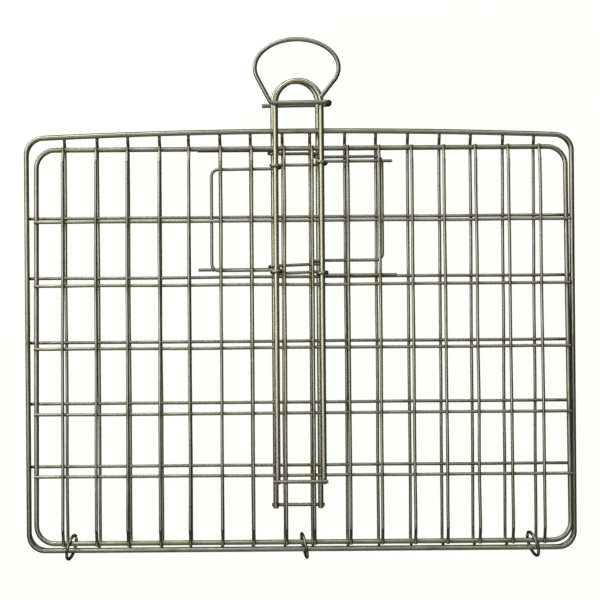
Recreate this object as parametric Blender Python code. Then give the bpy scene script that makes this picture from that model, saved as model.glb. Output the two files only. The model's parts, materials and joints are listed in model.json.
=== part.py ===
"""Hinged wire grill basket, lying shut with its lid up.

A shallow wire tray and a flat wire lid are joined by three open wire rings. Each half carries a
U-shaped handle that slides in a wire guide, and a bent-wire clip with a hanging loop goes round both
handles. Units are metres, +Z is up, +Y points to the handles and the origin is the centre of the
object's bounding box, at floor level.
"""

import math

import bpy
from mathutils import Matrix, Vector

# Wire diameters
RIM_WIRE = 0.0040
GRID_WIRE = 0.0026
HANDLE_ROD = 0.0045
CROSSBAR_WIRE = 0.0030
RING_WIRE = 0.0026
CLIP_WIRE = 0.0035
GAP = 0.0003  # left between wires that touch or slide on each other

# Grid: both halves are welded on one jig, whose pitch isn't quite even
BAR_GAPS = (0.0270, 0.0254, 0.0262, 0.0240, 0.0260, 0.0252, 0.0264, 0.0228, 0.0290, 0.0256, 0.0265,
            0.0262, 0.0258, 0.0266, 0.0256)
TRAY_FIRST_BAR_X = -0.1940
LID_FIRST_BAR_X = -0.1923
TRAY_CROSS_WIRE_Y = (-0.1015, -0.0495, 0.0010, 0.0542, 0.1037)
LID_CROSS_WIRE_Y = (-0.1059, -0.0557, -0.0027, 0.0485, 0.1005)  # from the middle of the lid

# Tray
TRAY_RIM_X = 0.2226  # half of the rim's width, to the middle of its wire
TRAY_RIM_Y = 0.1684
TRAY_RIM_CORNER = 0.0130
TRAY_RIM_BOW = 0.0043  # how far the rims are sprung outwards at the handles
UPPER_RIM_RISE = 0.0175  # above the lengthwise wires; the lower rim lies on the cross wires' ends
LOWER_RIM_SPREAD = (0.0021, 0.0017)  # how much further out the lower rim runs, at the sides and the ends
BAR_BEND = 0.0040
BAR_TIP_RISE = 0.0030  # a lengthwise wire turned up at the hinge ends this far above the lower rim
BAR_JOG = (0.0100, 0.0040)  # at the handles it steps up between these places, to pass under the rim
TRAY_WIRE_OVERHANG = 0.0015  # of a wire's end past the middle of the rim that it lies under
POST_GAP = 0.0006  # a post leans, so its ends keep further from the rims
SIDE_POST_Y = TRAY_CROSS_WIRE_Y[2]
HINGE_POST_X = 0.1050

# Lid
LID_X = 0.0016  # the lid sits a little to one side of the tray
LID_RIM_X = 0.2163
LID_RIM_Y = 0.1600
LID_RIM_CORNER = 0.0150
LID_TILT = math.radians(2.1)  # the lid's handle end lies lower, sunk into the tray
LID_WIRE_JOG = 0.0090  # length over which a lid bar steps down onto the rim
LID_WIRE_BEND = 0.0040
LID_CROSS_INSET = 0.0005  # from the rim's outer edge to a cross wire's end

# Hinge: the ring joins the tray's upper rim wire to the lid's rim wire
HINGE_RISE = 0.0095
HINGE_SETBACK = 0.0075
RING_RADIUS = 0.0098
RING_SLIT = math.radians(14)
RINGS = {  # name: (place along the hinge, lean of the ring)
    "left": (-0.1873, math.radians(-16)),
    "middle": (0.0020, math.radians(14)),
    "right": (0.1878, math.radians(20)),
}

# Handles
HANDLE_SPAN = 0.0372  # between the middles of the two legs
FRONT_HANDLE_X = -0.0003
REAR_HANDLE_X = -0.0026
FRONT_HANDLE_TOP_Y = 0.2136
REAR_HANDLE_TOP_Y = 0.2165
FRONT_CROSSBAR_Y = -0.1113
REAR_CROSSBAR_Y = -0.1356
CROSSBAR_LENGTH = 0.0440
LEG_PAST_CROSSBAR = 0.0024

# Handle guides: C-shaped wires that go once round each leg at both ends of the C
GUIDE_CORNER = 0.0055
WRAP_PITCH = GRID_WIRE + GAP
FRONT_GUIDE_SIDE_X = -0.0716
REAR_GUIDE_SIDE_X = 0.0685
FRONT_GUIDE_WRAP_Y = ((0.1421, 0.1450), (0.0594, 0.0579))  # where it meets each leg: far run, near run
REAR_GUIDE_WRAP_Y = ((0.1530, 0.1559), (0.0675, 0.0632))
FRONT_GUIDE_END_X = (0.0760, 0.0790)
REAR_GUIDE_END_X = (-0.0838, -0.0838)

# Locking clip: a far bar under the handles, a near bar over them and the hanging loop
CLIP_FAR_BAR = ((-0.0305, 0.1969), (0.0255, 0.1975))  # from its tail to the closed side
CLIP_NEAR_BAR = ((0.0255, 0.1953), (-0.0224, 0.1947))
CLIP_BEND = 0.0050
LOOP_BEND = 0.0035
LOOP_CENTRE = (-0.0012, 0.2231)
LOOP_HALF_SIZE = (0.0340, 0.0231)
LOOP_OPEN_ANGLE = math.radians(-22)
LOOP_END = (0.0182, 0.1993)

# Levels that follow from the wires lying on each other
CROSS_ON_BAR = GRID_WIRE + GAP
WIRE_ON_RIM = (RIM_WIRE + GRID_WIRE) / 2 + GAP
WRAP_RADIUS = (HANDLE_ROD + GRID_WIRE) / 2 + GAP
CROSSBAR_ON_LEG = (HANDLE_ROD + CROSSBAR_WIRE) / 2 + GAP
CLIP_ON_LEG = (HANDLE_ROD + CLIP_WIRE) / 2 + GAP
WIRE_FLAT = math.cos(math.pi / 8)  # a wire has eight sides, and lies on a flat one
LID_CROSS_W = WIRE_ON_RIM  # heights in the lid, above the middle of its rim wire
LID_BAR_W = LID_CROSS_W + CROSS_ON_BAR
LID_LEG_W = LID_CROSS_W + WRAP_RADIUS
TRAY_BAR_Z = WRAP_RADIUS - CROSS_ON_BAR + CLIP_ON_LEG + CLIP_WIRE / 2 * WIRE_FLAT  # clip on the ground
TRAY_CROSS_Z = TRAY_BAR_Z + CROSS_ON_BAR
TRAY_LEG_Z = TRAY_CROSS_Z - WRAP_RADIUS
TRAY_LOWER_RIM_Z = TRAY_CROSS_Z + WIRE_ON_RIM
TRAY_UPPER_RIM_Z = TRAY_BAR_Z + UPPER_RIM_RISE
LOWER_RIM_X = TRAY_RIM_X + LOWER_RIM_SPREAD[0]
LOWER_RIM_Y = TRAY_RIM_Y + LOWER_RIM_SPREAD[1]

TRAY_HINGE = Vector((0, -TRAY_RIM_Y, TRAY_UPPER_RIM_Z))
LID_HINGE = TRAY_HINGE + Vector((0, HINGE_SETBACK, HINGE_RISE))
LOOP_TOP = LOOP_CENTRE[1] + LOOP_HALF_SIZE[1] + CLIP_WIRE / 2
RING_BOTTOM = (TRAY_HINGE.y + LID_HINGE.y) / 2 - RING_RADIUS - RING_WIRE / 2
MIDDLE_Y = (LOOP_TOP + RING_BOTTOM) / 2

COLLECTION_NAME = "hinged_wire_grill_basket"


# ---------------------------------------------------------------- shared helpers


def clear_scene():
    for obj in list(bpy.data.objects):
        bpy.data.objects.remove(obj, do_unlink=True)


def make_collection(name):
    collection = bpy.data.collections.new(name)
    bpy.context.scene.collection.children.link(collection)
    return collection


def make_steel(name, colour, roughness):
    material = bpy.data.materials.new(name)
    material.use_nodes = True
    shader = material.node_tree.nodes["Principled BSDF"]
    shader.inputs["Base Color"].default_value = (*colour, 1)
    shader.inputs["Metallic"].default_value = 1.0
    shader.inputs["Roughness"].default_value = roughness
    return material


def make_pivot(name, collection, parent=None, location=(0, 0, 0), rotation_x=0.0):
    """An empty on a joint's axis. Its pieces are drawn in its own frame."""
    pivot = bpy.data.objects.new(name, None)
    pivot.empty_display_size = 0.02
    pivot.location = location
    pivot.rotation_euler.x = rotation_x
    pivot.parent = parent
    collection.objects.link(pivot)
    return pivot


def make_wire(name, points, diameter, material, collection, parent, cyclic=False):
    curve = bpy.data.curves.new(name, "CURVE")
    curve.dimensions = "3D"
    curve.bevel_depth = diameter / 2
    curve.bevel_resolution = 2
    curve.use_fill_caps = not cyclic
    spline = curve.splines.new("POLY")
    spline.points.add(len(points) - 1)
    for point, place in zip(spline.points, points):
        point.co = (*place, 1)
        point.tilt = math.pi / 8  # turns a flat of the eight-sided wire downwards
    spline.use_cyclic_u = cyclic
    spline.use_smooth = True
    curve.materials.append(material)
    wire = bpy.data.objects.new(name, curve)
    wire.parent = parent
    collection.objects.link(wire)
    return wire


def bend(before, corner, after, radius, steps):
    """Points of the arc that rounds a corner, from the side of `before` to the side of `after`."""
    before, corner, after = Vector(before), Vector(corner), Vector(after)
    arriving = (corner - before).normalized()
    leaving = (after - corner).normalized()
    turn = arriving.angle(leaving)
    if turn < math.radians(1):
        return [corner]
    start = corner - arriving * radius * math.tan(turn / 2)
    axis = arriving.cross(leaving).normalized()
    centre = start + axis.cross(arriving) * radius
    return [
        centre + Matrix.Rotation(turn * step / steps, 3, axis) @ (start - centre)
        for step in range(steps + 1)
    ]


def rounded(points, radius, steps=3):
    """An open line with its inner corners rounded."""
    line = [Vector(points[0])]
    for before, corner, after in zip(points, points[1:], points[2:]):
        line += bend(before, corner, after, radius, steps)
    return line + [Vector(points[-1])]


def rounded_frame(half_x, half_y, corner, z, steps=5):
    """A closed rectangle with rounded corners, as a list of its points."""
    corners = [(half_x, half_y, z), (-half_x, half_y, z), (-half_x, -half_y, z), (half_x, -half_y, z)]
    line = []
    for i, place in enumerate(corners):
        line += bend(corners[i - 1], place, corners[(i + 1) % 4], corner, steps)
    return line


def bar_places(first):
    """Where the lengthwise wires stand along X."""
    places = [first]
    for gap in BAR_GAPS:
        places.append(places[-1] + gap)
    return places


def wrap_points(x, y, centre_z, direction, side, steps=10):
    """One turn of wire round a leg that runs along Y. y holds the places where the turn starts and ends.

    direction is +1 or -1, the way the wire travels along X. side is -1 where the wire starts and ends
    below the leg, and +1 where it does so above it.
    """
    points = []
    for step in range(steps + 1):
        angle = 2 * math.pi * step / steps
        points.append(
            Vector(
                (
                    x + direction * WRAP_RADIUS * math.sin(angle),
                    y[0] + (y[1] - y[0]) * step / steps,
                    centre_z + side * WRAP_RADIUS * math.cos(angle),
                )
            )
        )
    return points


# ---------------------------------------------------------------- tray


def rim_bow(x):
    """How far the tray's rim is sprung outwards at a place along its handle side."""
    reach = TRAY_RIM_X - TRAY_RIM_CORNER
    return TRAY_RIM_BOW * max(0.0, 1 - (x / reach) ** 2)


def tray_rim_points(half_x, half_y, z, steps=10):
    line = rounded_frame(half_x, half_y, TRAY_RIM_CORNER + half_x - TRAY_RIM_X, z)
    reach = TRAY_RIM_X - TRAY_RIM_CORNER
    places = [reach * (1 - 2 * step / steps) for step in range(1, steps)]
    bowed_side = [Vector((x, half_y + rim_bow(x), z)) for x in places]
    first_corner = len(line) // 4
    return line[:first_corner] + bowed_side + line[first_corner:]


def post_places():
    """Where the uprights between the two rims stand, as (lower end, upper end) along X and Y."""
    places = []
    for side in (-1, 1):
        places.append(((side * LOWER_RIM_X, SIDE_POST_Y), (side * TRAY_RIM_X, SIDE_POST_Y)))
        places.append(((side * HINGE_POST_X, -LOWER_RIM_Y), (side * HINGE_POST_X, -TRAY_RIM_Y)))
    places.append(((0, LOWER_RIM_Y + rim_bow(0)), (0, TRAY_RIM_Y + rim_bow(0))))
    return places


def make_tray(collection, pivot, rim_steel, grid_steel):
    make_wire("tray_upper_rim", tray_rim_points(TRAY_RIM_X, TRAY_RIM_Y, TRAY_UPPER_RIM_Z), RIM_WIRE,
              rim_steel, collection, pivot, cyclic=True)
    make_wire("tray_lower_rim", tray_rim_points(LOWER_RIM_X, LOWER_RIM_Y, TRAY_LOWER_RIM_Z), RIM_WIRE,
              rim_steel, collection, pivot, cyclic=True)
    foot, step = BAR_JOG
    for i, x in enumerate(bar_places(TRAY_FIRST_BAR_X)):
        back = -LOWER_RIM_Y + WIRE_ON_RIM
        front = LOWER_RIM_Y + rim_bow(x)
        corners = [
            (x, back, TRAY_LOWER_RIM_Z + BAR_TIP_RISE),
            (x, back, TRAY_BAR_Z),
            (x, front - foot, TRAY_BAR_Z),
            (x, front - step, TRAY_CROSS_Z),
            (x, front + TRAY_WIRE_OVERHANG, TRAY_CROSS_Z),
        ]
        make_wire(f"tray_bar_{i + 1:02d}", rounded(corners, BAR_BEND), GRID_WIRE, grid_steel,
                  collection, pivot)
    reach = LOWER_RIM_X + TRAY_WIRE_OVERHANG
    for i, y in enumerate(TRAY_CROSS_WIRE_Y):
        line = [(-reach, y, TRAY_CROSS_Z), (reach, y, TRAY_CROSS_Z)]
        make_wire(f"tray_cross_wire_{i + 1}", line, GRID_WIRE, grid_steel, collection, pivot)
    off_rim = RIM_WIRE / 2 + POST_GAP
    for i, (foot, head) in enumerate(post_places()):
        line = [(*foot, TRAY_LOWER_RIM_Z + off_rim), (*head, TRAY_UPPER_RIM_Z - off_rim)]
        make_wire(f"tray_rim_post_{i + 1}", line, GRID_WIRE, grid_steel, collection, pivot)


# ---------------------------------------------------------------- lid, in its own frame: hinge at the origin


def lid_y(y):
    """A place along the lid from its middle, given from the hinge."""
    return y + LID_RIM_Y


def make_lid(collection, pivot, rim_steel, grid_steel):
    rim = rounded_frame(LID_RIM_X, LID_RIM_Y, LID_RIM_CORNER, 0)
    rim = [point + Vector((LID_X, LID_RIM_Y, 0)) for point in rim]
    make_wire("lid_rim", rim, RIM_WIRE, rim_steel, collection, pivot, cyclic=True)
    end = LID_RIM_Y + RIM_WIRE / 2
    step_down = LID_RIM_Y - RIM_WIRE / 2
    for i, x in enumerate(bar_places(LID_FIRST_BAR_X)):
        line = rounded(
            [
                (x, lid_y(-end), WIRE_ON_RIM),
                (x, lid_y(-step_down), WIRE_ON_RIM),
                (x, lid_y(-step_down + LID_WIRE_JOG), LID_BAR_W),
                (x, lid_y(step_down - LID_WIRE_JOG), LID_BAR_W),
                (x, lid_y(step_down), WIRE_ON_RIM),
                (x, lid_y(end), WIRE_ON_RIM),
            ],
            LID_WIRE_BEND,
            steps=1,
        )
        make_wire(f"lid_bar_{i + 1:02d}", line, GRID_WIRE, grid_steel, collection, pivot)
    reach = LID_RIM_X + RIM_WIRE / 2 - LID_CROSS_INSET
    for i, y in enumerate(LID_CROSS_WIRE_Y):
        line = [(LID_X - reach, lid_y(y), LID_CROSS_W), (LID_X + reach, lid_y(y), LID_CROSS_W)]
        make_wire(f"lid_cross_wire_{i + 1}", line, GRID_WIRE, grid_steel, collection, pivot)


# ---------------------------------------------------------------- handle guides


def guide_points(side_x, end_x, legs, wraps, leg_z, side, y_of):
    """The whole guide wire: far run, closed side and near run of the C, with a wrap at each leg.

    legs are in the order that the far run meets them on its way out from the closed side. side is -1
    where the guide's runs pass below the legs and +1 where they pass above them.
    """
    outwards = 1 if end_x[0] > side_x else -1
    run_z = leg_z + side * WRAP_RADIUS
    side_z = run_z + side * CROSS_ON_BAR  # clear of the cross wire that the closed side passes
    runs = []
    for (first_y, second_y), sign, end in zip(wraps, (1, -1), end_x):
        run = []
        for x, y in zip(legs, (first_y, second_y)):
            start, stop = y_of(y), y_of(y + sign * WRAP_PITCH)
            run += wrap_points(x, (start, stop), leg_z, outwards, side)
        run.append(Vector((end, run[-1].y, run_z)))
        runs.append((Vector((side_x, y_of(first_y), side_z)), run))
    (far_corner, far_run), (near_corner, near_run) = runs
    far_bend = bend(far_run[0], far_corner, near_corner, GUIDE_CORNER, 4)
    near_bend = bend(far_corner, near_corner, near_run[0], GUIDE_CORNER, 4)
    return far_run[::-1] + far_bend + near_bend + near_run


def make_guides(collection, tray_pivot, lid_pivot, steel):
    front_legs = [FRONT_HANDLE_X - HANDLE_SPAN / 2, FRONT_HANDLE_X + HANDLE_SPAN / 2]
    front = guide_points(FRONT_GUIDE_SIDE_X, FRONT_GUIDE_END_X, front_legs, FRONT_GUIDE_WRAP_Y,
                         LID_LEG_W, -1, lambda y: y - LID_HINGE.y)
    make_wire("lid_handle_guide", front, GRID_WIRE, steel, collection, lid_pivot)
    rear_legs = [REAR_HANDLE_X + HANDLE_SPAN / 2, REAR_HANDLE_X - HANDLE_SPAN / 2]
    rear = guide_points(REAR_GUIDE_SIDE_X, REAR_GUIDE_END_X, rear_legs, REAR_GUIDE_WRAP_Y,
                        TRAY_LEG_Z, 1, lambda y: y)
    make_wire("tray_handle_guide", rear, GRID_WIRE, steel, collection, tray_pivot)


# ---------------------------------------------------------------- handles


def handle_points(x, end_y, top_y, z, steps=12):
    """A U rod: up one leg, round a half circle and down the other."""
    radius = HANDLE_SPAN / 2
    arc = [
        Vector(
            (
                x - radius * math.cos(math.pi * step / steps),
                top_y - radius + radius * math.sin(math.pi * step / steps),
                z,
            )
        )
        for step in range(steps + 1)
    ]
    return [Vector((x - radius, end_y, z)), *arc, Vector((x + radius, end_y, z))]


def make_handle(name, x, crossbar_y, top_y, z, side, steels, collection, pivot):
    rod = handle_points(x, crossbar_y - LEG_PAST_CROSSBAR, top_y, z)
    make_wire(name, rod, HANDLE_ROD, steels["handle"], collection, pivot)
    crossbar_z = z + side * CROSSBAR_ON_LEG
    half = CROSSBAR_LENGTH / 2
    line = [(x - half, crossbar_y, crossbar_z), (x + half, crossbar_y, crossbar_z)]
    make_wire(f"{name}_crossbar", line, CROSSBAR_WIRE, steels["crossbar"], collection, pivot)


# ---------------------------------------------------------------- hinge rings


def make_ring(name, lean, steel, collection, pivot):
    """An open ring round both hinge wires, turned a little about the line between them."""
    to_lid = LID_HINGE - TRAY_HINGE
    along = to_lid.normalized()
    across = Matrix.Rotation(lean, 3, along) @ along.cross(Vector((1, 0, 0)))
    turn = 2 * math.pi - RING_SLIT
    steps = 18
    line = []
    for step in range(steps + 1):
        angle = RING_SLIT / 2 + turn * step / steps
        offset = across * math.cos(angle) + along * math.sin(angle)
        line.append(to_lid / 2 + offset * RING_RADIUS)
    make_wire(name, line, RING_WIRE, steel, collection, pivot)


# ---------------------------------------------------------------- locking clip


def clip_points(near_z, far_z, steps=20):
    """Far bar, round the side of both handles, near bar, then the hanging loop."""
    (tail, far_side), (near_side, near_left) = CLIP_FAR_BAR, CLIP_NEAR_BAR
    half_x, half_y = LOOP_HALF_SIZE
    start, stop = math.pi - LOOP_OPEN_ANGLE, LOOP_OPEN_ANGLE
    loop = []
    for step in range(steps + 1):
        angle = start + (stop - start) * step / steps
        x = LOOP_CENTRE[0] + half_x * math.cos(angle)
        y = LOOP_CENTRE[1] + half_y * math.sin(angle)
        loop.append(Vector((x, y, near_z)))
    bars = [(*tail, far_z), (*far_side, far_z), (*near_side, near_z), (*near_left, near_z)]
    turn_up = bend(bars[2], bars[3], loop[0], LOOP_BEND, 3)
    return rounded(bars, CLIP_BEND, steps=4)[:-1] + turn_up + loop + [Vector((*LOOP_END, near_z))]


# ---------------------------------------------------------------- assembly


def main():
    clear_scene()
    collection = make_collection(COLLECTION_NAME)
    steels = {
        "rim": make_steel("rim_steel", (0.50, 0.48, 0.38), 0.30),
        "grid": make_steel("grid_steel", (0.56, 0.54, 0.44), 0.28),
        "handle": make_steel("handle_steel", (0.66, 0.63, 0.52), 0.22),
        "crossbar": make_steel("crossbar_steel", (0.60, 0.58, 0.48), 0.28),
        "guide": make_steel("guide_steel", (0.52, 0.50, 0.42), 0.30),
        "ring": make_steel("ring_steel", (0.48, 0.46, 0.38), 0.32),
        "clip": make_steel("clip_steel", (0.54, 0.52, 0.42), 0.26),
    }

    tray = make_pivot("tray_origin", collection, location=(0, -MIDDLE_Y, 0))
    make_tray(collection, tray, steels["rim"], steels["grid"])

    ring_pivots = {}
    for side, (x, lean) in RINGS.items():
        pivot = make_pivot(f"ring_{side}_axis", collection, tray, TRAY_HINGE + Vector((x, 0, 0)))
        make_ring(f"hinge_ring_{side}", lean, steels["ring"], collection, pivot)
        ring_pivots[side] = pivot

    middle = ring_pivots["middle"]
    on_ring = LID_HINGE - TRAY_HINGE - Vector((RINGS["middle"][0], 0, 0))
    lid = make_pivot("lid_axis", collection, middle, on_ring, -LID_TILT)
    make_lid(collection, lid, steels["rim"], steels["grid"])
    make_guides(collection, tray, lid, steels["guide"])

    front_slide = make_pivot("front_handle_slide", collection, lid)
    make_handle("front_handle", FRONT_HANDLE_X, FRONT_CROSSBAR_Y - LID_HINGE.y,
                FRONT_HANDLE_TOP_Y - LID_HINGE.y, LID_LEG_W, 1, steels, collection, front_slide)
    rear_slide = make_pivot("rear_handle_slide", collection, tray)
    make_handle("rear_handle", REAR_HANDLE_X, REAR_CROSSBAR_Y, REAR_HANDLE_TOP_Y, TRAY_LEG_Z, -1,
                steels, collection, rear_slide)

    clip_slide = make_pivot("clip_slide", collection, rear_slide)
    front_leg_z = LID_HINGE.z + LID_LEG_W / math.cos(LID_TILT)
    front_leg_z -= (CLIP_NEAR_BAR[1][1] - LID_HINGE.y) * math.tan(LID_TILT)
    clip = clip_points(front_leg_z + CLIP_ON_LEG, TRAY_LEG_Z - CLIP_ON_LEG)
    make_wire("locking_clip", clip, CLIP_WIRE, steels["clip"], collection, clip_slide)


main()
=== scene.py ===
"""Looks of the hinged wire grill basket: round drawn wires, cut ends, spot welds, stainless steel.

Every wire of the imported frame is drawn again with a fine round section, on the same line and at
the same diameter. Units are metres. In the lid's own frame the hinge is at the origin, Y runs along
the lid and W is the height above the middle of its rim wire.
"""

import json
import math
import random

import bmesh
import bpy
from mathutils import Matrix, Vector
from mathutils.kdtree import KDTree

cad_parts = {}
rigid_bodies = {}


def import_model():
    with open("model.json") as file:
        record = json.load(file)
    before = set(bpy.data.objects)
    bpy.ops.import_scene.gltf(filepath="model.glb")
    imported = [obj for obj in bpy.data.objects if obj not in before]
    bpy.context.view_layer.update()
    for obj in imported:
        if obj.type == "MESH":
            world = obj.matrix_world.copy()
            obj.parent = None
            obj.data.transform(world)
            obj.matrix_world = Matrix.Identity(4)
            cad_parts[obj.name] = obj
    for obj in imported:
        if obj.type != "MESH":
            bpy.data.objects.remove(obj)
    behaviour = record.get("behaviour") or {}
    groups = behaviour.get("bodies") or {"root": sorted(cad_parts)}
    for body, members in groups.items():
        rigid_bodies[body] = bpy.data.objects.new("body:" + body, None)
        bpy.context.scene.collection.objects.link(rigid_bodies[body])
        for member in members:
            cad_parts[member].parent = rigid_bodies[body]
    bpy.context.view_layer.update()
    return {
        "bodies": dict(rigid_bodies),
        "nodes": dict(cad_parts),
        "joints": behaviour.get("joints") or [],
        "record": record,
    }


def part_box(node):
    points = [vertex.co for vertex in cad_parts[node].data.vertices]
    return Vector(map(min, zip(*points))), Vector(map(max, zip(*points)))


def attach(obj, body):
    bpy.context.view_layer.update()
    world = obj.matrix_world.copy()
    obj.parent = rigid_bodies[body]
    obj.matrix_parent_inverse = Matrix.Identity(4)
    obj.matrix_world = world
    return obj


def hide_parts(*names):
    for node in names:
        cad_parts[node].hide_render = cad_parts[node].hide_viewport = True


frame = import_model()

JOINTS = {joint["name"]: joint for joint in frame["joints"]}

# Wire diameters
RIM_WIRE = 0.0040
GRID_WIRE = 0.0026
HANDLE_ROD = 0.0045
CROSSBAR_WIRE = 0.0030
RING_WIRE = 0.0026
CLIP_WIRE = 0.0035
GAP = 0.0003

# Shape of the bends, as in the frame
TRAY_RIM_CORNER = 0.0130
TRAY_RIM_BOW = 0.0043
LID_RIM_CORNER = 0.0150
BAR_BEND = 0.0040
BAR_JOG = (0.0100, 0.0040)
LID_WIRE_JOG = 0.0090
LID_WIRE_BEND = 0.0040
LID_CROSS_INSET = 0.0005
RING_RADIUS = 0.0098
RING_SLIT = math.radians(14)
RING_LEAN = {"left": math.radians(-16), "middle": math.radians(14), "right": math.radians(20)}
HANDLE_SPAN = 0.0372
GUIDE_CORNER = 0.0055
CLIP_BEND = 0.0050
LOOP_BEND = 0.0035
LOOP_HALF_SIZE = (0.0340, 0.0231)
LOOP_OPEN_ANGLE = math.radians(-22)

WIRE_ON_RIM = (RIM_WIRE + GRID_WIRE) / 2 + GAP
WIRE_ON_WIRE = GRID_WIRE + GAP
WRAP_RADIUS = (HANDLE_ROD + GRID_WIRE) / 2 + GAP
FLAT = math.cos(math.pi / 8)  # the frame's wires have eight sides, so their boxes are slimmer

BAR_COUNT = 16
CROSS_COUNT = 5
TRAY_POSTS = [f"tray_rim_post_{i + 1}" for i in range(5)]
CUT_CHAMFER = 0.16  # of a wire's radius, taken off the edge of a cut end
WAVER = 0.00022  # how far a drawn wire strays from its straight line
WELD_REACH = 0.0055  # length of wire that a spot weld discolours
GRID_NUGGET = (0.00115, 0.00075)  # half width and half height of a weld's lump
HANDLE_NUGGET = (0.0016, 0.0009)
NUGGET_DRIFT = 0.00015

# How finely the wires are drawn
THIN_WIRE = 0.0028
THIN_SIDES, THICK_SIDES = 12, 16
LONGEST_STEP = 0.010
SHORTEST_STEP = 0.0016
UNSPLIT_LENGTH = 0.0025
LEAST_LAST_STEP = 0.0012

random.seed(11)


# ---------------------------------------------------------------- where things are in the frame


def centre_of(node):
    low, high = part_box(node)
    return (low + high) / 2


TRAY_AXIS = Vector(JOINTS["middle_ring_swing"]["pos_m"])
LID_AXIS = Vector(JOINTS["lid_open"]["pos_m"])
SLIDE = Vector(JOINTS["front_handle_slide"]["axis"])
LID_TILT = math.atan2(-SLIDE.z, SLIDE.y)
LID_FRAME = Matrix.Translation((0, LID_AXIS.y, LID_AXIS.z)) @ Matrix.Rotation(-LID_TILT, 4, "X")

RIM_FLAT = RIM_WIRE / 2 * FLAT
TRAY_RIM_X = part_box("tray_upper_rim")[1].x - RIM_FLAT
TRAY_RIM_REACH = TRAY_RIM_X - TRAY_RIM_CORNER  # half of its straight length
TRAY_RIM_BACK = TRAY_AXIS.y
TRAY_RIM_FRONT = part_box("tray_upper_rim")[1].y - RIM_FLAT - TRAY_RIM_BOW
LOWER_RIM_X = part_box("tray_lower_rim")[1].x - RIM_FLAT
LOWER_RIM_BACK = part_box("tray_lower_rim")[0].y + RIM_FLAT
LOWER_RIM_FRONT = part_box("tray_lower_rim")[1].y - RIM_FLAT - TRAY_RIM_BOW
TRAY_BAR_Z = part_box("tray_bar_08")[0].z + GRID_WIRE / 2 * FLAT
TRAY_CROSS_Z = TRAY_BAR_Z + WIRE_ON_WIRE
UPPER_RIM_Z = centre_of("tray_upper_rim").z
LOWER_RIM_Z = centre_of("tray_lower_rim").z
BAR_TIP_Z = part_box("tray_bar_08")[1].z
BAR_END_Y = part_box("tray_bar_08")[1].y
TRAY_LEG_Z = centre_of("rear_handle").z

LID_RIM_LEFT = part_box("lid_rim")[0].x + RIM_FLAT
LID_RIM_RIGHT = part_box("lid_rim")[1].x - RIM_FLAT
LID_LENGTH = 0.3200  # between the lid rim's middles, along the lid
LID_CROSS_W = WIRE_ON_RIM
LID_BAR_W = LID_CROSS_W + WIRE_ON_WIRE
LID_LEG_W = LID_CROSS_W + WRAP_RADIUS


def along_lid(point):
    """A place in the frame, given in the lid's own frame."""
    return LID_FRAME.inverted() @ Vector(point)


def tray_y(y):
    """A place along the tray from its middle, as a place in the frame."""
    return y + (TRAY_RIM_BACK + TRAY_RIM_FRONT) / 2


def lid_y(y):
    """A place along the basket from the tray's middle, as a place along the lid from its hinge."""
    return tray_y(y) - LID_AXIS.y


# Handle guides, handles and clip: places along Y are from the tray's middle
GUIDES = {
    "lid_handle_guide": {
        "side_x": -0.0716,
        "end_x": (0.0760, 0.0790),
        "wraps": ((0.1421, 0.1450), (0.0594, 0.0579)),
    },
    "tray_handle_guide": {
        "side_x": 0.0685,
        "end_x": (-0.0838, -0.0838),
        "wraps": ((0.1530, 0.1559), (0.0675, 0.0632)),
    },
}
HANDLES = {
    "front_handle": {"top_y": 0.2136, "crossbar_y": -0.1113},
    "rear_handle": {"top_y": 0.2165, "crossbar_y": -0.1356},
}
LEG_PAST_CROSSBAR = 0.0024
CLIP_FAR_BAR = ((-0.0305, 0.1969), (0.0255, 0.1975))
CLIP_NEAR_BAR = ((0.0255, 0.1953), (-0.0224, 0.1947))
LOOP_CENTRE = (-0.0012, 0.2231)
LOOP_END = (0.0182, 0.1993)

TRAY_BARS = [centre_of(f"tray_bar_{i + 1:02d}").x for i in range(BAR_COUNT)]
LID_BARS = [centre_of(f"lid_bar_{i + 1:02d}").x for i in range(BAR_COUNT)]
TRAY_CROSSES = [centre_of(f"tray_cross_wire_{i + 1}").y for i in range(CROSS_COUNT)]
LID_CROSSES = [along_lid(centre_of(f"lid_cross_wire_{i + 1}")).y for i in range(CROSS_COUNT)]


def rim_bow(x):
    """How far the tray's rim is sprung outwards at a place along its handle side."""
    return TRAY_RIM_BOW * max(0.0, 1 - (x / TRAY_RIM_REACH) ** 2)


# ---------------------------------------------------------------- lines of the bent wires


def bend(before, corner, after, radius, steps):
    """Points of the arc that rounds a corner, from the side of `before` to the side of `after`."""
    before, corner, after = Vector(before), Vector(corner), Vector(after)
    arriving = (corner - before).normalized()
    leaving = (after - corner).normalized()
    turn = arriving.angle(leaving)
    if turn < math.radians(1):
        return [corner]
    start = corner - arriving * radius * math.tan(turn / 2)
    axis = arriving.cross(leaving).normalized()
    centre = start + axis.cross(arriving) * radius
    return [
        centre + Matrix.Rotation(turn * step / steps, 3, axis) @ (start - centre)
        for step in range(steps + 1)
    ]


def rounded(points, radius, steps=8):
    """An open line with its inner corners rounded."""
    line = [Vector(points[0])]
    for before, corner, after in zip(points, points[1:], points[2:]):
        line += bend(before, corner, after, radius, steps)
    return line + [Vector(points[-1])]


def rounded_frame(low, high, corner, z, steps=12):
    """A closed rectangle with rounded corners, given by its low and high corner."""
    (left, back), (right, front) = low, high
    places = [(right, front, z), (left, front, z), (left, back, z), (right, back, z)]
    line = []
    for i, place in enumerate(places):
        line += bend(places[i - 1], place, places[(i + 1) % 4], corner, steps)
    return line


def tray_rim_line(half_x, back, front, z, steps=48):
    corner = TRAY_RIM_CORNER + half_x - TRAY_RIM_X
    line = rounded_frame((-half_x, back), (half_x, front), corner, z)
    places = [TRAY_RIM_REACH * (1 - 2 * step / steps) for step in range(1, steps)]
    bowed = [Vector((x, front + rim_bow(x), z)) for x in places]
    first_corner = len(line) // 4
    return line[:first_corner] + bowed + line[first_corner:]


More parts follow.
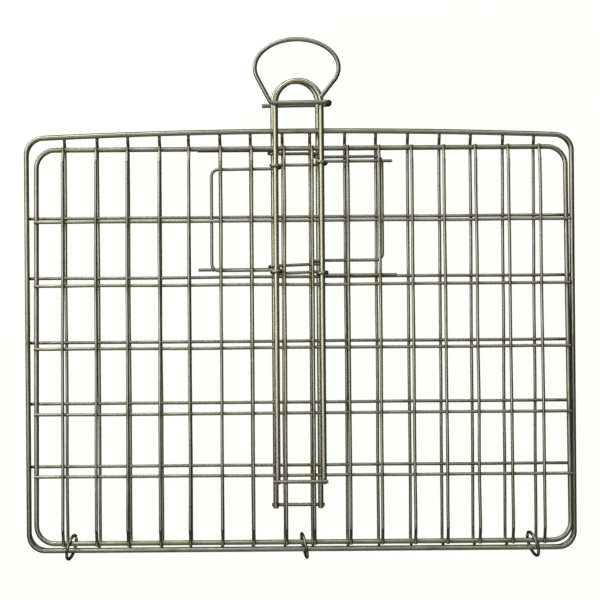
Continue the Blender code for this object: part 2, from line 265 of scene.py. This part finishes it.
def tray_bar_line(x):
    foot, step = BAR_JOG
    back = LOWER_RIM_BACK + WIRE_ON_RIM
    front = LOWER_RIM_FRONT + rim_bow(x)
    end = BAR_END_Y + rim_bow(x) - rim_bow(TRAY_BARS[7])
    corners = [
        (x, back, BAR_TIP_Z),
        (x, back, TRAY_BAR_Z),
        (x, front - foot, TRAY_BAR_Z),
        (x, front - step, TRAY_CROSS_Z),
        (x, end, TRAY_CROSS_Z),
    ]
    return rounded(corners, BAR_BEND)


def tray_cross_line(y):
    low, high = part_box("tray_cross_wire_1")
    return [Vector((low.x, y, TRAY_CROSS_Z)), Vector((high.x, y, TRAY_CROSS_Z))]


def post_line(node):
    """An upright between the rims, that leans from the lower rim's line to the upper rim's."""
    low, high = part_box(node)
    middle = (low + high) / 2
    sideways = abs(middle.x) > TRAY_RIM_X
    foot, head = Vector((middle.x, middle.y, low.z)), Vector((middle.x, middle.y, high.z))
    if sideways:
        lean = math.copysign((LOWER_RIM_X - TRAY_RIM_X) / 2, middle.x)
        foot.x, head.x = middle.x + lean, middle.x - lean
    else:
        lean = math.copysign((LOWER_RIM_FRONT - TRAY_RIM_FRONT) / 2, middle.y - tray_y(0))
        foot.y, head.y = middle.y + lean, middle.y - lean
    return [foot, head]


def lid_bar_line(x):
    return rounded(
        [
            (x, -RIM_WIRE / 2, WIRE_ON_RIM),
            (x, RIM_WIRE / 2, WIRE_ON_RIM),
            (x, RIM_WIRE / 2 + LID_WIRE_JOG, LID_BAR_W),
            (x, LID_LENGTH - RIM_WIRE / 2 - LID_WIRE_JOG, LID_BAR_W),
            (x, LID_LENGTH - RIM_WIRE / 2, WIRE_ON_RIM),
            (x, LID_LENGTH + RIM_WIRE / 2, WIRE_ON_RIM),
        ],
        LID_WIRE_BEND,
        steps=5,
    )


def lid_cross_line(y):
    reach = RIM_WIRE / 2 - LID_CROSS_INSET
    return [
        Vector((LID_RIM_LEFT - reach, y, LID_CROSS_W)),
        Vector((LID_RIM_RIGHT + reach, y, LID_CROSS_W)),
    ]


def wrap_line(x, y, centre_z, direction, side, steps=30):
    """One turn of wire round a leg that runs along Y, from y[0] to y[1]."""
    points = []
    for step in range(steps + 1):
        angle = 2 * math.pi * step / steps
        points.append(
            Vector(
                (
                    x + direction * WRAP_RADIUS * math.sin(angle),
                    y[0] + (y[1] - y[0]) * step / steps,
                    centre_z + side * WRAP_RADIUS * math.cos(angle),
                )
            )
        )
    return points


def guide_line(guide, legs, leg_z, side, y_of):
    """The guide wire: far run, closed side and near run of the C, with a wrap at each leg."""
    side_x, ends = guide["side_x"], guide["end_x"]
    outwards = 1 if ends[0] > side_x else -1
    run_z = leg_z + side * WRAP_RADIUS
    side_z = run_z + side * WIRE_ON_WIRE
    runs = []
    for wraps, sign, end in zip(guide["wraps"], (1, -1), ends):
        run = []
        for x, y in zip(legs, wraps):
            run += wrap_line(x, (y_of(y), y_of(y + sign * WIRE_ON_WIRE)), leg_z, outwards, side)
        run.append(Vector((end, run[-1].y, run_z)))
        runs.append((Vector((side_x, y_of(wraps[0]), side_z)), run))
    (far_corner, far_run), (near_corner, near_run) = runs
    far_bend = bend(far_run[0], far_corner, near_corner, GUIDE_CORNER, 10)
    near_bend = bend(far_corner, near_corner, near_run[0], GUIDE_CORNER, 10)
    return far_run[::-1] + far_bend + near_bend + near_run


def handle_line(x, end_y, top_y, z, steps=40):
    """A U rod: up one leg, round a half circle and down the other."""
    radius = HANDLE_SPAN / 2
    arc = [
        Vector(
            (
                x - radius * math.cos(math.pi * step / steps),
                top_y - radius + radius * math.sin(math.pi * step / steps),
                z,
            )
        )
        for step in range(steps + 1)
    ]
    return [Vector((x - radius, end_y, z)), *arc, Vector((x + radius, end_y, z))]


def ring_line(x, lean, steps=56):
    """An open ring round both hinge wires, turned a little about the line between them."""
    start = Vector((x, TRAY_AXIS.y, TRAY_AXIS.z))
    to_lid = Vector((0, LID_AXIS.y, LID_AXIS.z)) - Vector((0, TRAY_AXIS.y, TRAY_AXIS.z))
    along = to_lid.normalized()
    across = Matrix.Rotation(lean, 3, along) @ along.cross(Vector((1, 0, 0)))
    line = []
    for step in range(steps + 1):
        angle = RING_SLIT / 2 + (2 * math.pi - RING_SLIT) * step / steps
        offset = across * math.cos(angle) + along * math.sin(angle)
        line.append(start + to_lid / 2 + offset * RING_RADIUS)
    return line


def clip_line(steps=64):
    """Far bar, round the side of both handles, near bar, then the hanging loop."""
    low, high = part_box("locking_clip")
    far_z = low.z + CLIP_WIRE / 2 * FLAT
    near_z = high.z - CLIP_WIRE / 2 * FLAT
    half_x, half_y = LOOP_HALF_SIZE
    start, stop = math.pi - LOOP_OPEN_ANGLE, LOOP_OPEN_ANGLE
    loop = []
    for step in range(steps + 1):
        angle = start + (stop - start) * step / steps
        x = LOOP_CENTRE[0] + half_x * math.cos(angle)
        y = LOOP_CENTRE[1] + half_y * math.sin(angle)
        loop.append(Vector((x, tray_y(y), near_z)))
    bars = [(x, tray_y(y), far_z) for x, y in CLIP_FAR_BAR]
    bars += [(x, tray_y(y), near_z) for x, y in CLIP_NEAR_BAR]
    turn_up = bend(bars[2], bars[3], loop[0], LOOP_BEND, 8)
    end = Vector((LOOP_END[0], tray_y(LOOP_END[1]), near_z))
    return rounded(bars, CLIP_BEND, steps=12)[:-1] + turn_up + loop + [end]


# ---------------------------------------------------------------- spot welds: (place, way of pressing)


def crossings(xs, ys, z):
    return [(Vector((x, y, z)), Vector((0, 0, 1))) for x in xs for y in ys]


def guide_welds(guide, legs, bars, z, y_of):
    """Where the two runs of a guide lie on the lengthwise wires."""
    welds = []
    for wraps, sign, end in zip(guide["wraps"], (1, -1), guide["end_x"]):
        way = 1 if end > guide["side_x"] else -1
        start_x = guide["side_x"] + way * GUIDE_CORNER
        for x in bars:
            near_leg = any(abs(x - leg) < WRAP_RADIUS + GRID_WIRE for leg in legs)
            if near_leg or not min(start_x, end) < x < max(start_x, end):
                continue
            passed = sum((x - leg) * way > WRAP_RADIUS for leg in legs)
            y = wraps[0] if passed == 0 else wraps[passed - 1] + sign * WIRE_ON_WIRE
            if passed == 1:
                y += (wraps[1] - y) * ((x - legs[0]) / (legs[1] - legs[0]))
            welds.append((Vector((x, y_of(y), z)), Vector((0, 0, 1))))
    return welds


def tray_weld_places(legs):
    press = RIM_WIRE / 2 + GAP / 2
    welds = crossings(TRAY_BARS, TRAY_CROSSES, (TRAY_BAR_Z + TRAY_CROSS_Z) / 2)
    for x in TRAY_BARS:
        welds.append((Vector((x, LOWER_RIM_BACK + press, LOWER_RIM_Z)), Vector((0, 1, 0))))
        under = Vector((x, LOWER_RIM_FRONT + rim_bow(x), LOWER_RIM_Z - press))
        welds.append((under, Vector((0, 0, 1))))
    welds += crossings((-LOWER_RIM_X, LOWER_RIM_X), TRAY_CROSSES, LOWER_RIM_Z - press)
    for post in TRAY_POSTS:
        welds += [(end, Vector((0, 0, 1))) for end in post_line(post)]
    level = (TRAY_BAR_Z + TRAY_CROSS_Z) / 2
    return welds + guide_welds(GUIDES["tray_handle_guide"], legs, TRAY_BARS, level, tray_y)


def lid_weld_places(legs):
    """In the lid's own frame."""
    press = RIM_WIRE / 2 + GAP / 2
    welds = crossings(LID_BARS, LID_CROSSES, (LID_CROSS_W + LID_BAR_W) / 2)
    welds += crossings(LID_BARS, (0, LID_LENGTH), press)
    welds += crossings((LID_RIM_LEFT, LID_RIM_RIGHT), LID_CROSSES, press)
    level = (LID_CROSS_W + LID_BAR_W) / 2
    return welds + guide_welds(GUIDES["lid_handle_guide"], legs, LID_BARS, level, lid_y)


class WeldMap:
    """Finds the nearest spot weld to a place."""

    def __init__(self, places):
        self.tree = KDTree(len(places))
        for i, place in enumerate(places):
            self.tree.insert(place, i)
        self.tree.balance()

    def distance(self, place):
        return self.tree.find(place)[2]


# ---------------------------------------------------------------- drawing a wire


def refined(points, cyclic, welds):
    """The same line with more points, close together near the welds."""
    points = [Vector(p) for p in points]
    pairs = list(zip(points, points[1:] + points[:1] if cyclic else points[1:]))
    line = []
    for a, b in pairs:
        line.append(a)
        length = (b - a).length
        if length < UNSPLIT_LENGTH:
            continue
        way = (b - a) / length
        travelled = 0.0
        while True:
            here = a + way * travelled
            reach = welds.distance(here) if welds else LONGEST_STEP
            travelled += min(max(reach * 0.45, SHORTEST_STEP), LONGEST_STEP)
            if travelled > length - LEAST_LAST_STEP:
                break
            line.append(a + way * travelled)
    if not cyclic:
        line.append(points[-1])
    return line


def waver(line, way):
    """Lets a long wire stray a little to one side and back, as drawn and welded wire does."""
    waves = [
        (random.uniform(9, 60), random.uniform(0, 6.28), random.uniform(0.4, 1))  # rate, start, size
        for _ in range(4)
    ]
    travelled, moved = 0.0, []
    total = sum((b - a).length for a, b in zip(line, line[1:]))
    for i, place in enumerate(line):
        travelled += (place - line[i - 1]).length if i else 0
        share = travelled / total
        fade = min(1, share * 12, (1 - share) * 12)
        sway = sum(size * math.sin(rate * travelled + start) for rate, start, size in waves) / 2.2
        moved.append(place + Vector(way) * sway * WAVER * fade)
    return moved


def section_frames(line, cyclic):
    """For each point, its direction and two directions across it, without twist along the wire."""
    count = len(line)
    tangents = []
    for i, place in enumerate(line):
        before = line[i - 1] if cyclic or i else place
        after = line[(i + 1) % count] if cyclic or i < count - 1 else place
        tangents.append((after - before).normalized())
    up = Vector((0, 0, 1)) if abs(tangents[0].z) < 0.9 else Vector((0, 1, 0))
    side = (up - tangents[0] * up.dot(tangents[0])).normalized()
    frames = []
    for i, tangent in enumerate(tangents):
        if i:
            turn = tangents[i - 1].rotation_difference(tangent)
            side = turn @ side
            side = (side - tangent * side.dot(tangent)).normalized()
        frames.append((tangent, side.copy(), tangent.cross(side)))
    return frames


def with_cut_ends(rings, radius):
    """The same rings of a wire, with the edges of its two cut ends taken off."""
    chamfer = radius * CUT_CHAMFER
    start, first = rings[0][:2]
    end, last = rings[-1][:2]
    return [
        (start, first, radius - chamfer),
        (start + first[0] * chamfer, first, radius),
        *rings[1:-1],
        (end - last[0] * chamfer, last, radius),
        (end, last, radius - chamfer),
    ]


def close_ends(bm, grid, uv_layer):
    """Fills the two ends of a wire and keeps their edges sharp."""
    for loop, flip in ((grid[0], True), (grid[-1], False)):
        face = bm.faces.new(loop[::-1] if flip else loop)
        for corner in face.loops:
            corner[uv_layer].uv = (0.5, 0.5)
    for loop in (grid[0], grid[1], grid[-1], grid[-2]):
        for here, there in zip(loop, loop[1:] + loop[:1]):
            bm.edges.get((here, there)).smooth = False


def make_wire(
    node, points, diameter, body, slot, cyclic=False, welds=None, sway=None, to_frame=None
):
    """Draws a CAD wire again: round, with cut ends, a UV along its length and its welds' heat."""
    sides = THIN_SIDES if diameter < THIN_WIRE else THICK_SIDES
    line = refined(points, cyclic, welds)
    if sway:
        line = waver(line, sway)
    radius = diameter / 2
    rings = [(place, frame, radius) for place, frame in zip(line, section_frames(line, cyclic))]
    if not cyclic:
        rings = with_cut_ends(rings, radius)
    mesh = bpy.data.meshes.new(f"round_{node}")
    bm = bmesh.new()
    uv_layer = bm.loops.layers.uv.new("UVMap")
    heat_layer = bm.verts.layers.float.new("weld_heat")
    grid, lengths, travelled = [], [], 0.0
    for i, (place, (_, side, other), size) in enumerate(rings):
        travelled += (place - rings[i - 1][0]).length if i else 0
        lengths.append(travelled)
        heat = math.exp(-((welds.distance(place) / WELD_REACH) ** 2)) if welds else 0.0
        loop = []
        for k in range(sides):
            angle = 2 * math.pi * k / sides
            spot = place + side * (math.cos(angle) * size) + other * (math.sin(angle) * size)
            vert = bm.verts.new(to_frame @ spot if to_frame else spot)
            vert[heat_layer] = heat
            loop.append(vert)
        grid.append(loop)
    count = len(grid)
    for i in range(count if cyclic else count - 1):
        here, there = grid[i], grid[(i + 1) % count]
        closing = (rings[0][0] - rings[-1][0]).length
        far = lengths[i + 1] if i + 1 < count else travelled + closing
        for k in range(sides):
            m = (k + 1) % sides
            face = bm.faces.new((here[k], here[m], there[m], there[k]))
            face.smooth = True
            spots = ((lengths[i], k), (lengths[i], k + 1), (far, k + 1), (far, k))
            for corner, (u, v) in zip(face.loops, spots):
                corner[uv_layer].uv = (u, v / sides)
    if not cyclic:
        close_ends(bm, grid, uv_layer)
    bm.to_mesh(mesh)
    bm.free()
    wire = bpy.data.objects.new(f"round_{node}", mesh)
    bpy.context.scene.collection.objects.link(wire)
    wire.data.materials.append(STEELS[slot])
    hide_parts(node)
    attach(wire, body)
    return wire


# ---------------------------------------------------------------- drawn stainless steel


def link(tree, source, target):
    tree.links.new(source, target)


def maths(tree, operation, first, second=None):
    node = tree.nodes.new("ShaderNodeMath")
    node.operation = operation
    for socket, value in zip(node.inputs, (first, second)):
        if value is None:
            continue
        if isinstance(value, (int, float)):
            socket.default_value = value
        else:
            link(tree, value, socket)
    return node.outputs[0]


def noise(tree, vector, scale, detail, roughness=0.5):
    node = tree.nodes.new("ShaderNodeTexNoise")
    node.inputs["Scale"].default_value = scale
    node.inputs["Detail"].default_value = detail
    node.inputs["Roughness"].default_value = roughness
    link(tree, vector, node.inputs["Vector"])
    return node.outputs["Fac"]


def ramp(tree, factor, stops):
    node = tree.nodes.new("ShaderNodeValToRGB")
    elements = node.color_ramp.elements
    while len(elements) < len(stops):
        elements.new(0.5)
    for element, (place, colour) in zip(elements, stops):
        element.position = place
        element.color = (*colour, 1)
    link(tree, factor, node.inputs["Fac"])
    return node.outputs["Color"]


def mix(tree, factor, first, second, blend="MIX"):
    node = tree.nodes.new("ShaderNodeMix")
    node.data_type = "RGBA"
    node.blend_type = blend
    sockets = [s for s in node.inputs if s.type == "RGBA"]
    if isinstance(factor, (int, float)):
        node.inputs[0].default_value = factor
    else:
        link(tree, factor, node.inputs[0])
    for socket, value in zip(sockets, (first, second)):
        if isinstance(value, tuple):
            socket.default_value = (*value, 1)
        else:
            link(tree, value, socket)
    return next(s for s in node.outputs if s.type == "RGBA")


def wire_steel(name, colour, dull, roughness, lines):
    """Drawn wire: lines along it, soft clouds of dull film, a straw-brown tint at each weld and
    painted shade along its edges.
    """
    material = bpy.data.materials.new(name)
    material.use_nodes = True
    tree = material.node_tree
    shader = tree.nodes["Principled BSDF"]
    shader.inputs["Metallic"].default_value = 1.0
    # painted shade: the dark edge tint darkens the steel's reflection at grazing angles, so each wire
    # comes out dark along its edges
    shader.inputs["Specular Tint"].default_value = (*PAINTED_EDGE_SHADE, 1)

    coordinates = tree.nodes.new("ShaderNodeTexCoord")
    split = tree.nodes.new("ShaderNodeSeparateXYZ")
    link(tree, coordinates.outputs["UV"], split.inputs[0])
    turn = maths(tree, "MULTIPLY", split.outputs["Y"], 2 * math.pi)
    around = tree.nodes.new("ShaderNodeCombineXYZ")
    link(tree, maths(tree, "MULTIPLY", split.outputs["X"], 9.0), around.inputs["X"])
    link(tree, maths(tree, "MULTIPLY", maths(tree, "COSINE", turn), 2.2), around.inputs["Y"])
    link(tree, maths(tree, "MULTIPLY", maths(tree, "SINE", turn), 2.2), around.inputs["Z"])
    draw_lines = noise(tree, around.outputs[0], 2.6, 6.0, 0.65)
    clouds = noise(tree, coordinates.outputs["Object"], 26.0, 3.0)
    specks = noise(tree, coordinates.outputs["Object"], 900.0, 2.0)

    film = ramp(tree, clouds, [(0.34, (0, 0, 0)), (0.68, (1, 1, 1))])
    steel = mix(tree, film, colour, dull)
    shade = ramp(tree, draw_lines, [(0.30, (1 - lines * 0.35,) * 3), (0.62, (1, 1, 1))])
    steel = mix(tree, 1.0, steel, shade, "MULTIPLY")
    soot = ramp(tree, specks, [(0.30, (0.62, 0.60, 0.55)), (0.44, (1, 1, 1))])
    steel = mix(tree, 0.7, steel, soot, "MULTIPLY")
    weld = tree.nodes.new("ShaderNodeAttribute")
    weld.attribute_name = "weld_heat"
    tint = ramp(
        tree,
        weld.outputs["Fac"],
        [(0.10, (1, 1, 1)), (0.55, (0.85, 0.78, 0.60)), (1.0, (0.50, 0.46, 0.38))],
    )
    steel = mix(tree, WELD_TINT, steel, tint, "MULTIPLY")
    link(tree, steel, shader.inputs["Base Color"])

    rough = maths(tree, "MULTIPLY_ADD", draw_lines, 0.16)
    rough.node.inputs[2].default_value = roughness - 0.08
    hot = maths(tree, "MULTIPLY_ADD", weld.outputs["Fac"], 0.14)
    link(tree, rough, hot.node.inputs[2])
    link(tree, hot, shader.inputs["Roughness"])

    bump = tree.nodes.new("ShaderNodeBump")
    bump.inputs["Strength"].default_value = 0.5
    bump.inputs["Distance"].default_value = 0.00004
    link(tree, draw_lines, bump.inputs["Height"])
    link(tree, bump.outputs[0], shader.inputs["Normal"])
    return material


def weld_steel(name):
    """The squeezed, heat-stained metal of a spot weld."""
    material = bpy.data.materials.new(name)
    material.use_nodes = True
    tree = material.node_tree
    shader = tree.nodes["Principled BSDF"]
    shader.inputs["Metallic"].default_value = 1.0
    coordinates = tree.nodes.new("ShaderNodeTexCoord")
    grain = noise(tree, coordinates.outputs["Object"], 700.0, 4.0)
    stain = noise(tree, coordinates.outputs["Object"], 160.0, 2.0)
    stains = [(0.35, (0.26, 0.24, 0.21)), (0.5, (0.36, 0.31, 0.22)), (0.66, (0.30, 0.30, 0.32))]
    colour = ramp(tree, stain, stains)
    link(tree, colour, shader.inputs["Base Color"])
    rough = maths(tree, "MULTIPLY_ADD", grain, 0.3)
    rough.node.inputs[2].default_value = 0.30
    link(tree, rough, shader.inputs["Roughness"])
    bump = tree.nodes.new("ShaderNodeBump")
    bump.inputs["Strength"].default_value = 0.7
    bump.inputs["Distance"].default_value = 0.0002
    link(tree, grain, bump.inputs["Height"])
    link(tree, bump.outputs[0], shader.inputs["Normal"])
    return material


# dark tint of the steel's reflection at grazing angles: painted shade along the edges of every wire
PAINTED_EDGE_SHADE = (0.24, 0.24, 0.18)
WELD_TINT = 0.6
# For each slot: bright colour, colour under the dull film, roughness, depth of the drawing lines
STEEL_LOOKS = {
    "rim_wire": ((0.60, 0.595, 0.46), (0.45, 0.445, 0.32), 0.30, 0.5),
    "grid_wire": ((0.63, 0.625, 0.49), (0.49, 0.485, 0.37), 0.26, 0.5),
    "guide_wire": ((0.52, 0.50, 0.42), (0.40, 0.38, 0.30), 0.32, 0.5),
    "ring_wire": ((0.48, 0.46, 0.36), (0.36, 0.34, 0.27), 0.34, 0.5),
    "handle_rod": ((0.76, 0.74, 0.57), (0.63, 0.61, 0.44), 0.26, 0.35),
    "crossbar_wire": ((0.60, 0.58, 0.48), (0.48, 0.46, 0.37), 0.30, 0.5),
    "clip_wire": ((0.54, 0.53, 0.44), (0.42, 0.41, 0.33), 0.28, 0.5),
}
STEELS = {slot: wire_steel(f"{slot}_steel", *look) for slot, look in STEEL_LOOKS.items()}
WELD_STEEL = weld_steel("weld_steel")


# ---------------------------------------------------------------- weld nuggets


def make_nuggets(name, places, body, half_size, to_frame=None):
    """Small squeezed lumps that fill the crook between two wires, one at each weld."""
    mesh = bpy.data.meshes.new(name)
    bm = bmesh.new()
    for place, press in places:
        lump = bmesh.ops.create_icosphere(bm, subdivisions=2, radius=1.0)["verts"]
        turn = press.to_track_quat("Z", "Y").to_matrix()
        size = Vector((
            half_size[0] * random.uniform(0.85, 1.2),
            half_size[0] * random.uniform(0.85, 1.2),
            half_size[1] * random.uniform(0.9, 1.1),
        ))
        drift = Vector((random.uniform(-1, 1), random.uniform(-1, 1), 0)) * NUGGET_DRIFT
        for vert in lump:
            ripple = math.sin(vert.co.x * 7 + place.x * 900)
            rough = 1 + 0.12 * ripple * math.cos(vert.co.y * 6 + place.y * 700)
            spot = Vector([a * b for a, b in zip(vert.co * rough, size)])
            spot = turn @ (spot + drift) + place
            vert.co = to_frame @ spot if to_frame else spot
    for face in bm.faces:
        face.smooth = True
    bm.to_mesh(mesh)
    bm.free()
    nuggets = bpy.data.objects.new(name, mesh)
    bpy.context.scene.collection.objects.link(nuggets)
    nuggets.data.materials.append(WELD_STEEL)
    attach(nuggets, body)
    return nuggets


# ---------------------------------------------------------------- the basket


def make_tray(welds, legs):
    near = WeldMap([place for place, _ in welds])
    upper = tray_rim_line(TRAY_RIM_X, TRAY_RIM_BACK, TRAY_RIM_FRONT, UPPER_RIM_Z)
    make_wire("tray_upper_rim", upper, RIM_WIRE, "tray", "rim_wire", cyclic=True, welds=near)
    lower = tray_rim_line(LOWER_RIM_X, LOWER_RIM_BACK, LOWER_RIM_FRONT, LOWER_RIM_Z)
    make_wire("tray_lower_rim", lower, RIM_WIRE, "tray", "rim_wire", cyclic=True, welds=near)
    for post in TRAY_POSTS:
        make_wire(post, post_line(post), GRID_WIRE, "tray", "grid_wire", welds=near)
    for i, x in enumerate(TRAY_BARS):
        make_wire(f"tray_bar_{i + 1:02d}", tray_bar_line(x), GRID_WIRE, "tray", "grid_wire",
                  welds=near, sway=(1, 0, 0))
    for i, y in enumerate(TRAY_CROSSES):
        make_wire(f"tray_cross_wire_{i + 1}", tray_cross_line(y), GRID_WIRE, "tray", "grid_wire",
                  welds=near, sway=(0, 1, 0))
    line = guide_line(GUIDES["tray_handle_guide"], legs, TRAY_LEG_Z, 1, tray_y)
    make_wire("tray_handle_guide", line, GRID_WIRE, "tray", "guide_wire", welds=near)


def make_lid(welds, legs):
    near = WeldMap([place for place, _ in welds])
    low, high = (LID_RIM_LEFT, 0), (LID_RIM_RIGHT, LID_LENGTH)
    rim = rounded_frame(low, high, LID_RIM_CORNER, 0)
    make_wire("lid_rim", rim, RIM_WIRE, "lid", "rim_wire",
              cyclic=True, welds=near, to_frame=LID_FRAME)
    for i, x in enumerate(LID_BARS):
        make_wire(f"lid_bar_{i + 1:02d}", lid_bar_line(x), GRID_WIRE, "lid", "grid_wire",
                  welds=near, sway=(1, 0, 0), to_frame=LID_FRAME)
    for i, y in enumerate(LID_CROSSES):
        make_wire(f"lid_cross_wire_{i + 1}", lid_cross_line(y), GRID_WIRE, "lid", "grid_wire",
                  welds=near, sway=(0, 1, 0), to_frame=LID_FRAME)
    line = guide_line(GUIDES["lid_handle_guide"], legs, LID_LEG_W, -1, lid_y)
    make_wire("lid_handle_guide", line, GRID_WIRE, "lid", "guide_wire",
              welds=near, to_frame=LID_FRAME)


def make_handle(node, x, z, side, y_of, to_frame=None):
    sizes = HANDLES[node]
    top_y, bar_y = y_of(sizes["top_y"]), y_of(sizes["crossbar_y"])
    rod = handle_line(x, bar_y - LEG_PAST_CROSSBAR, top_y, z)
    reach = (HANDLE_ROD + CROSSBAR_WIRE) / 2 + GAP
    bar_z = z + side * reach
    weld_z = z + side * (HANDLE_ROD + GAP) / 2
    legs = (x - HANDLE_SPAN / 2, x + HANDLE_SPAN / 2)
    places = [(Vector((leg, bar_y, weld_z)), Vector((0, 0, 1))) for leg in legs]
    near = WeldMap([place for place, _ in places])
    make_wire(node, rod, HANDLE_ROD, node, "handle_rod", welds=near, to_frame=to_frame)
    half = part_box(f"{node}_crossbar")[1].x - x
    bar = [Vector((x - half, bar_y, bar_z)), Vector((x + half, bar_y, bar_z))]
    make_wire(f"{node}_crossbar", bar, CROSSBAR_WIRE, node, "crossbar_wire",
              welds=near, to_frame=to_frame)
    make_nuggets(f"{node}_welds", places, node, HANDLE_NUGGET, to_frame)


front_x, rear_x = centre_of("front_handle").x, centre_of("rear_handle").x
half_span = HANDLE_SPAN / 2
front_legs = (front_x - half_span, front_x + half_span)  # in the order that each guide meets them
rear_legs = (rear_x + half_span, rear_x - half_span)

tray_welds = tray_weld_places(rear_legs)
lid_welds = lid_weld_places(front_legs)
make_tray(tray_welds, rear_legs)
make_lid(lid_welds, front_legs)
make_nuggets("tray_welds", tray_welds, "tray", GRID_NUGGET)
make_nuggets("lid_welds", lid_welds, "lid", GRID_NUGGET, LID_FRAME)
make_handle("front_handle", front_x, LID_LEG_W, 1, lid_y, LID_FRAME)
make_handle("rear_handle", rear_x, TRAY_LEG_Z, -1, tray_y)
for ring_side, lean in RING_LEAN.items():
    ring_x = JOINTS[f"{ring_side}_ring_swing"]["pos_m"][0]
    ring = f"hinge_ring_{ring_side}"
    make_wire(ring, ring_line(ring_x, lean), RING_WIRE, ring, "ring_wire")
make_wire("locking_clip", clip_line(), CLIP_WIRE, "locking_clip", "clip_wire")


# ---------------------------------------------------------------- floor, light and camera


FLOOR_HALF_SIZE = 3.0
FLOOR_DROP = 0.0004  # below the lowest wire
CAMERA_PLACE = (0.0, -0.0012, 1.107)
CAMERA_ANGLE = math.radians(25.5)
CAMERA_TURN = math.radians(-0.45)

# For each light: place, what it points at, size, radiance and colour
SOFTBOXES = {
    "softbox_left": ((-1.05, 0.25, 1.15), (0, 0, 0), (0.9, 1.3), 1.60, (1.0, 0.985, 0.93)),
    "softbox_far": ((0.0, 1.75, 0.85), (0, 0, 0), (2.8, 1.1), 1.45, (1.0, 1.0, 0.98)),
    "softbox_corner": ((-0.62, 0.78, 0.22), (-0.10, 0.20, 0), (1.1, 0.42), 3.0, (1.0, 1.0, 0.97)),
    "softbox_near": ((0.0, -1.85, 0.60), (0, 0, 0), (2.6, 0.7), 0.40, (1.0, 1.0, 0.98)),
    "softbox_overhead": ((-0.1, 0.0, 1.9), (0, 0, 0), (1.4, 1.4), 0.60, (1.0, 1.0, 0.97)),
}


def make_floor():
    mesh = bpy.data.meshes.new("studio_floor")
    bm = bmesh.new()
    bmesh.ops.create_grid(bm, x_segments=8, y_segments=8, size=FLOOR_HALF_SIZE)
    bm.to_mesh(mesh)
    bm.free()
    floor = bpy.data.objects.new("studio_floor", mesh)
    floor.location.z = -FLOOR_DROP
    bpy.context.scene.collection.objects.link(floor)
    material = bpy.data.materials.new("pale_floor")
    material.use_nodes = True
    tree = material.node_tree
    tree.nodes.clear()
    output = tree.nodes.new("ShaderNodeOutputMaterial")
    pale = tree.nodes.new("ShaderNodeBsdfDiffuse")
    pale.inputs["Color"].default_value = (0.13, 0.13, 0.115, 1)
    glow = tree.nodes.new("ShaderNodeEmission")
    glow.inputs["Color"].default_value = (1.0, 1.0, 0.955, 1)
    glow.inputs["Strength"].default_value = 0.975
    both = tree.nodes.new("ShaderNodeAddShader")
    link(tree, pale.outputs[0], both.inputs[0])
    link(tree, glow.outputs[0], both.inputs[1])
    rays = tree.nodes.new("ShaderNodeLightPath")
    choose = tree.nodes.new("ShaderNodeMixShader")
    link(tree, rays.outputs["Is Camera Ray"], choose.inputs[0])
    link(tree, pale.outputs[0], choose.inputs[1])
    link(tree, both.outputs[0], choose.inputs[2])
    link(tree, choose.outputs[0], output.inputs["Surface"])
    mesh.materials.append(material)


def make_softbox(name, place, target, size, radiance, colour):
    light = bpy.data.lights.new(name, "AREA")
    light.shape = "RECTANGLE"
    light.size, light.size_y = size
    light.energy = radiance * math.pi * size[0] * size[1]
    light.color = colour
    box = bpy.data.objects.new(name, light)
    box.location = place
    box.rotation_euler = (Vector(target) - Vector(place)).to_track_quat("-Z", "Y").to_euler()
    bpy.context.scene.collection.objects.link(box)
    return box


make_floor()
for light_name, light_values in SOFTBOXES.items():
    make_softbox(light_name, *light_values)

world = bpy.data.worlds.new("studio_air")
world.use_nodes = True
world.node_tree.nodes["Background"].inputs["Color"].default_value = (0.92, 0.95, 1.0, 1)
world.node_tree.nodes["Background"].inputs["Strength"].default_value = 0.05
bpy.context.scene.world = world

camera_data = bpy.data.cameras.new("camera")
camera_data.angle = CAMERA_ANGLE
camera = bpy.data.objects.new("camera", camera_data)
camera.location = CAMERA_PLACE
camera.rotation_euler = (0, 0, CAMERA_TURN)
bpy.context.scene.collection.objects.link(camera)
bpy.context.scene.camera = camera
bpy.context.scene.view_settings.view_transform = "Standard"
